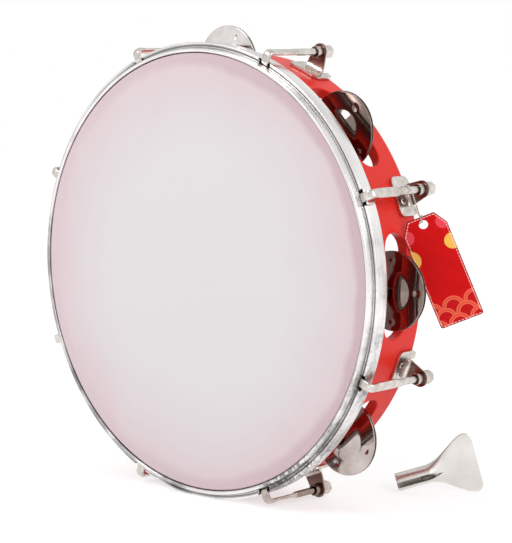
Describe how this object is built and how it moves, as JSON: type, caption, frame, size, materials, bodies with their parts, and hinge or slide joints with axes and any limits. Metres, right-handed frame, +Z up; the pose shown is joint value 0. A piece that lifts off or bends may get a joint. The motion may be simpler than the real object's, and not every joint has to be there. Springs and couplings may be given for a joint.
{
  "type": "tambourine",
  "caption": "Tunable frame tambourine with a stretched film head, paired cupped jingles, hook-and-nut tensioners, a swing tag and a loose tuning key.",
  "frame": {"origin": "centre of the drumhead's front face", "axes": "+X to the right as the head is seen, +Y from the head towards the open back, +Z up with the drum standing on its two lowest lugs"},
  "size_m": [0.2943, 0.1266, 0.2746],
  "materials": {
    "lacquered_wood": "bent plywood, glossy red lacquer",
    "head_film": "milky translucent polyester film",
    "hoop_wire": "plain drawn steel",
    "hoop_steel": "rolled zinc-coated steel, faintly mottled",
    "nickel_plate": "nickel plate over steel, soft polish",
    "jingle_nickel": "bright nickel plate over stamped steel",
    "pin_steel": "plain steel wire",
    "tag_card": "printed card, satin",
    "thread_nylon": "thin pale nylon cord",
    "key_steel": "zinc-plated pressed steel"
  },
  "bodies": {
    "drum": {"shell": "lacquered_wood", "drumhead": "head_film", "flesh_hoop": "hoop_wire", "counterhoop": "hoop_steel", "bracket_1": "nickel_plate", "bracket_rivets_1": "nickel_plate", "bracket_2": "nickel_plate", "bracket_rivets_2": "nickel_plate", "bracket_3": "nickel_plate", "bracket_rivets_3": "nickel_plate", "bracket_4": "nickel_plate", "bracket_rivets_4": "nickel_plate", "bracket_5": "nickel_plate", "bracket_rivets_5": "nickel_plate", "bracket_6": "nickel_plate", "bracket_rivets_6": "nickel_plate", "bracket_7": "nickel_plate", "bracket_rivets_7": "nickel_plate", "bracket_8": "nickel_plate", "bracket_rivets_8": "nickel_plate"},
    "tag": {"hang_tag": "tag_card", "tag_thread": "thread_nylon"},
    "key": {"tuning_key": "key_steel"},
    "nut_1": {"tension_nut_1": "nickel_plate"},
    "hook_1": {"tension_hook_1": "nickel_plate"},
    "nut_2": {"tension_nut_2": "nickel_plate"},
    "hook_2": {"tension_hook_2": "nickel_plate"},
    "nut_3": {"tension_nut_3": "nickel_plate"},
    "hook_3": {"tension_hook_3": "nickel_plate"},
    "nut_4": {"tension_nut_4": "nickel_plate"},
    "hook_4": {"tension_hook_4": "nickel_plate"},
    "nut_5": {"tension_nut_5": "nickel_plate"},
    "hook_5": {"tension_hook_5": "nickel_plate"},
    "nut_6": {"tension_nut_6": "nickel_plate"},
    "hook_6": {"tension_hook_6": "nickel_plate"},
    "nut_7": {"tension_nut_7": "nickel_plate"},
    "hook_7": {"tension_hook_7": "nickel_plate"},
    "nut_8": {"tension_nut_8": "nickel_plate"},
    "hook_8": {"tension_hook_8": "nickel_plate"},
    "pin_1": {"jingle_pin_1": "pin_steel"},
    "pin_2": {"jingle_pin_2": "pin_steel"},
    "pin_3": {"jingle_pin_3": "pin_steel"},
    "pin_4": {"jingle_pin_4": "pin_steel"},
    "pin_5": {"jingle_pin_5": "pin_steel"},
    "pin_6": {"jingle_pin_6": "pin_steel"},
    "pin_7": {"jingle_pin_7": "pin_steel"},
    "jingle_front_1": {"jingle_front_1": "jingle_nickel"},
    "jingle_rear_1": {"jingle_rear_1": "jingle_nickel"},
    "jingle_front_2": {"jingle_front_2": "jingle_nickel"},
    "jingle_rear_2": {"jingle_rear_2": "jingle_nickel"},
    "jingle_front_3": {"jingle_front_3": "jingle_nickel"},
    "jingle_rear_3": {"jingle_rear_3": "jingle_nickel"},
    "jingle_front_4": {"jingle_front_4": "jingle_nickel"},
    "jingle_rear_4": {"jingle_rear_4": "jingle_nickel"},
    "jingle_front_5": {"jingle_front_5": "jingle_nickel"},
    "jingle_rear_5": {"jingle_rear_5": "jingle_nickel"},
    "jingle_front_6": {"jingle_front_6": "jingle_nickel"},
    "jingle_rear_6": {"jingle_rear_6": "jingle_nickel"},
    "jingle_front_7": {"jingle_front_7": "jingle_nickel"},
    "jingle_rear_7": {"jingle_rear_7": "jingle_nickel"}
  },
  "joints": [
    {"name": "tag_swing", "type": "hinge", "parent": "drum", "child": "tag", "pos_m": [0.12703, 0.0346, 0.05262], "axis": [0, -1, 0], "range_deg": [0, 75]},
    {"name": "key_lift", "type": "slide", "parent": "drum", "child": "key", "axis": [0, 0, 1], "range_m": [0, 0.15]},
    {"name": "hook_slide_1", "type": "slide", "parent": "drum", "child": "hook_1", "axis": [0, -1, 0], "range_m": [0, 0.0028]},
    {"name": "hook_slide_2", "type": "slide", "parent": "drum", "child": "hook_2", "axis": [0, -1, 0], "range_m": [0, 0.0028]},
    {"name": "hook_slide_3", "type": "slide", "parent": "drum", "child": "hook_3", "axis": [0, -1, 0], "range_m": [0, 0.0028]},
    {"name": "hook_slide_4", "type": "slide", "parent": "drum", "child": "hook_4", "axis": [0, -1, 0], "range_m": [0, 0.0028]},
    {"name": "hook_slide_5", "type": "slide", "parent": "drum", "child": "hook_5", "axis": [0, -1, 0], "range_m": [0, 0.0028]},
    {"name": "hook_slide_6", "type": "slide", "parent": "drum", "child": "hook_6", "axis": [0, -1, 0], "range_m": [0, 0.0028]},
    {"name": "hook_slide_7", "type": "slide", "parent": "drum", "child": "hook_7", "axis": [0, -1, 0], "range_m": [0, 0.0028]},
    {"name": "hook_slide_8", "type": "slide", "parent": "drum", "child": "hook_8", "axis": [0, -1, 0], "range_m": [0, 0.0028]},
    {"name": "jingle_spin_1", "type": "hinge", "parent": "drum", "child": "pin_1", "pos_m": [0, 0.0293, 0.12225], "axis": [0, 1, 0], "continuous": true},
    {"name": "jingle_spin_2", "type": "hinge", "parent": "drum", "child": "pin_2", "pos_m": [0.08644, 0.0293, 0.08644], "axis": [0, 1, 0], "continuous": true},
    {"name": "jingle_spin_3", "type": "hinge", "parent": "drum", "child": "pin_3", "pos_m": [0.12225, 0.0293, 0], "axis": [0, 1, 0], "continuous": true},
    {"name": "jingle_spin_4", "type": "hinge", "parent": "drum", "child": "pin_4", "pos_m": [0.08644, 0.0293, -0.08644], "axis": [0, 1, 0], "continuous": true},
    {"name": "jingle_spin_5", "type": "hinge", "parent": "drum", "child": "pin_5", "pos_m": [-0.08644, 0.0293, -0.08644], "axis": [0, 1, 0], "continuous": true},
    {"name": "jingle_spin_6", "type": "hinge", "parent": "drum", "child": "pin_6", "pos_m": [-0.12225, 0.0293, 0], "axis": [0, 1, 0], "continuous": true},
    {"name": "jingle_spin_7", "type": "hinge", "parent": "drum", "child": "pin_7", "pos_m": [-0.08644, 0.0293, 0.08644], "axis": [0, 1, 0], "continuous": true},
    {"name": "jingle_slide_front_1", "type": "slide", "parent": "pin_1", "child": "jingle_front_1", "axis": [0, -1, 0], "range_m": [0, 0.00096]},
    {"name": "jingle_slide_rear_1", "type": "slide", "parent": "pin_1", "child": "jingle_rear_1", "axis": [0, 1, 0], "range_m": [0, 0.00544]},
    {"name": "jingle_slide_front_2", "type": "slide", "parent": "pin_2", "child": "jingle_front_2", "axis": [0, -1, 0], "range_m": [0, 0.00096]},
    {"name": "jingle_slide_rear_2", "type": "slide", "parent": "pin_2", "child": "jingle_rear_2", "axis": [0, 1, 0], "range_m": [0, 0.00544]},
    {"name": "jingle_slide_front_3", "type": "slide", "parent": "pin_3", "child": "jingle_front_3", "axis": [0, -1, 0], "range_m": [0, 0.00272]},
    {"name": "jingle_slide_rear_3", "type": "slide", "parent": "pin_3", "child": "jingle_rear_3", "axis": [0, 1, 0], "range_m": [0, 0.00368]},
    {"name": "jingle_slide_front_4", "type": "slide", "parent": "pin_4", "child": "jingle_front_4", "axis": [0, -1, 0], "range_m": [0, 0.00544]},
    {"name": "jingle_slide_rear_4", "type": "slide", "parent": "pin_4", "child": "jingle_rear_4", "axis": [0, 1, 0], "range_m": [0, 0.00096]},
    {"name": "jingle_slide_front_5", "type": "slide", "parent": "pin_5", "child": "jingle_front_5", "axis": [0, -1, 0], "range_m": [0, 0.00416]},
    {"name": "jingle_slide_rear_5", "type": "slide", "parent": "pin_5", "child": "jingle_rear_5", "axis": [0, 1, 0], "range_m": [0, 0.00224]},
    {"name": "jingle_slide_front_6", "type": "slide", "parent": "pin_6", "child": "jingle_front_6", "axis": [0, -1, 0], "range_m": [0, 0.00192]},
    {"name": "jingle_slide_rear_6", "type": "slide", "parent": "pin_6", "child": "jingle_rear_6", "axis": [0, 1, 0], "range_m": [0, 0.00448]},
    {"name": "jingle_slide_front_7", "type": "slide", "parent": "pin_7", "child": "jingle_front_7", "axis": [0, -1, 0], "range_m": [0, 0.00384]},
    {"name": "jingle_slide_rear_7", "type": "slide", "parent": "pin_7", "child": "jingle_rear_7", "axis": [0, 1, 0], "range_m": [0, 0.00256]},
    {"name": "nut_turn_1", "type": "hinge", "parent": "drum", "child": "nut_1", "pos_m": [0.05262, 0.0484, 0.12703], "axis": [0, 1, 0], "range_deg": [0, 1440]},
    {"name": "nut_turn_2", "type": "hinge", "parent": "drum", "child": "nut_2", "pos_m": [0.12703, 0.0484, 0.05262], "axis": [0, 1, 0], "range_deg": [0, 1440]},
    {"name": "nut_turn_3", "type": "hinge", "parent": "drum", "child": "nut_3", "pos_m": [0.12703, 0.0484, -0.05262], "axis": [0, 1, 0], "range_deg": [0, 1440]},
    {"name": "nut_turn_4", "type": "hinge", "parent": "drum", "child": "nut_4", "pos_m": [0.05262, 0.0484, -0.12703], "axis": [0, 1, 0], "range_deg": [0, 1440]},
    {"name": "nut_turn_5", "type": "hinge", "parent": "drum", "child": "nut_5", "pos_m": [-0.05262, 0.0484, -0.12703], "axis": [0, 1, 0], "range_deg": [0, 1440]},
    {"name": "nut_turn_6", "type": "hinge", "parent": "drum", "child": "nut_6", "pos_m": [-0.12703, 0.0484, -0.05262], "axis": [0, 1, 0], "range_deg": [0, 1440]},
    {"name": "nut_turn_7", "type": "hinge", "parent": "drum", "child": "nut_7", "pos_m": [-0.12703, 0.0484, 0.05262], "axis": [0, 1, 0], "range_deg": [0, 1440]},
    {"name": "nut_turn_8", "type": "hinge", "parent": "drum", "child": "nut_8", "pos_m": [-0.05262, 0.0484, 0.12703], "axis": [0, 1, 0], "range_deg": [0, 1440]}
  ],
  "couplings": [
    {"joint": "nut_turn_1", "follows": "hook_slide_1", "rad_per_m": 8975},
    {"joint": "nut_turn_2", "follows": "hook_slide_2", "rad_per_m": 8975},
    {"joint": "nut_turn_3", "follows": "hook_slide_3", "rad_per_m": 8975},
    {"joint": "nut_turn_4", "follows": "hook_slide_4", "rad_per_m": 8975},
    {"joint": "nut_turn_5", "follows": "hook_slide_5", "rad_per_m": 8975},
    {"joint": "nut_turn_6", "follows": "hook_slide_6", "rad_per_m": 8975},
    {"joint": "nut_turn_7", "follows": "hook_slide_7", "rad_per_m": 8975},
    {"joint": "nut_turn_8", "follows": "hook_slide_8", "rad_per_m": 8975}
  ]
}
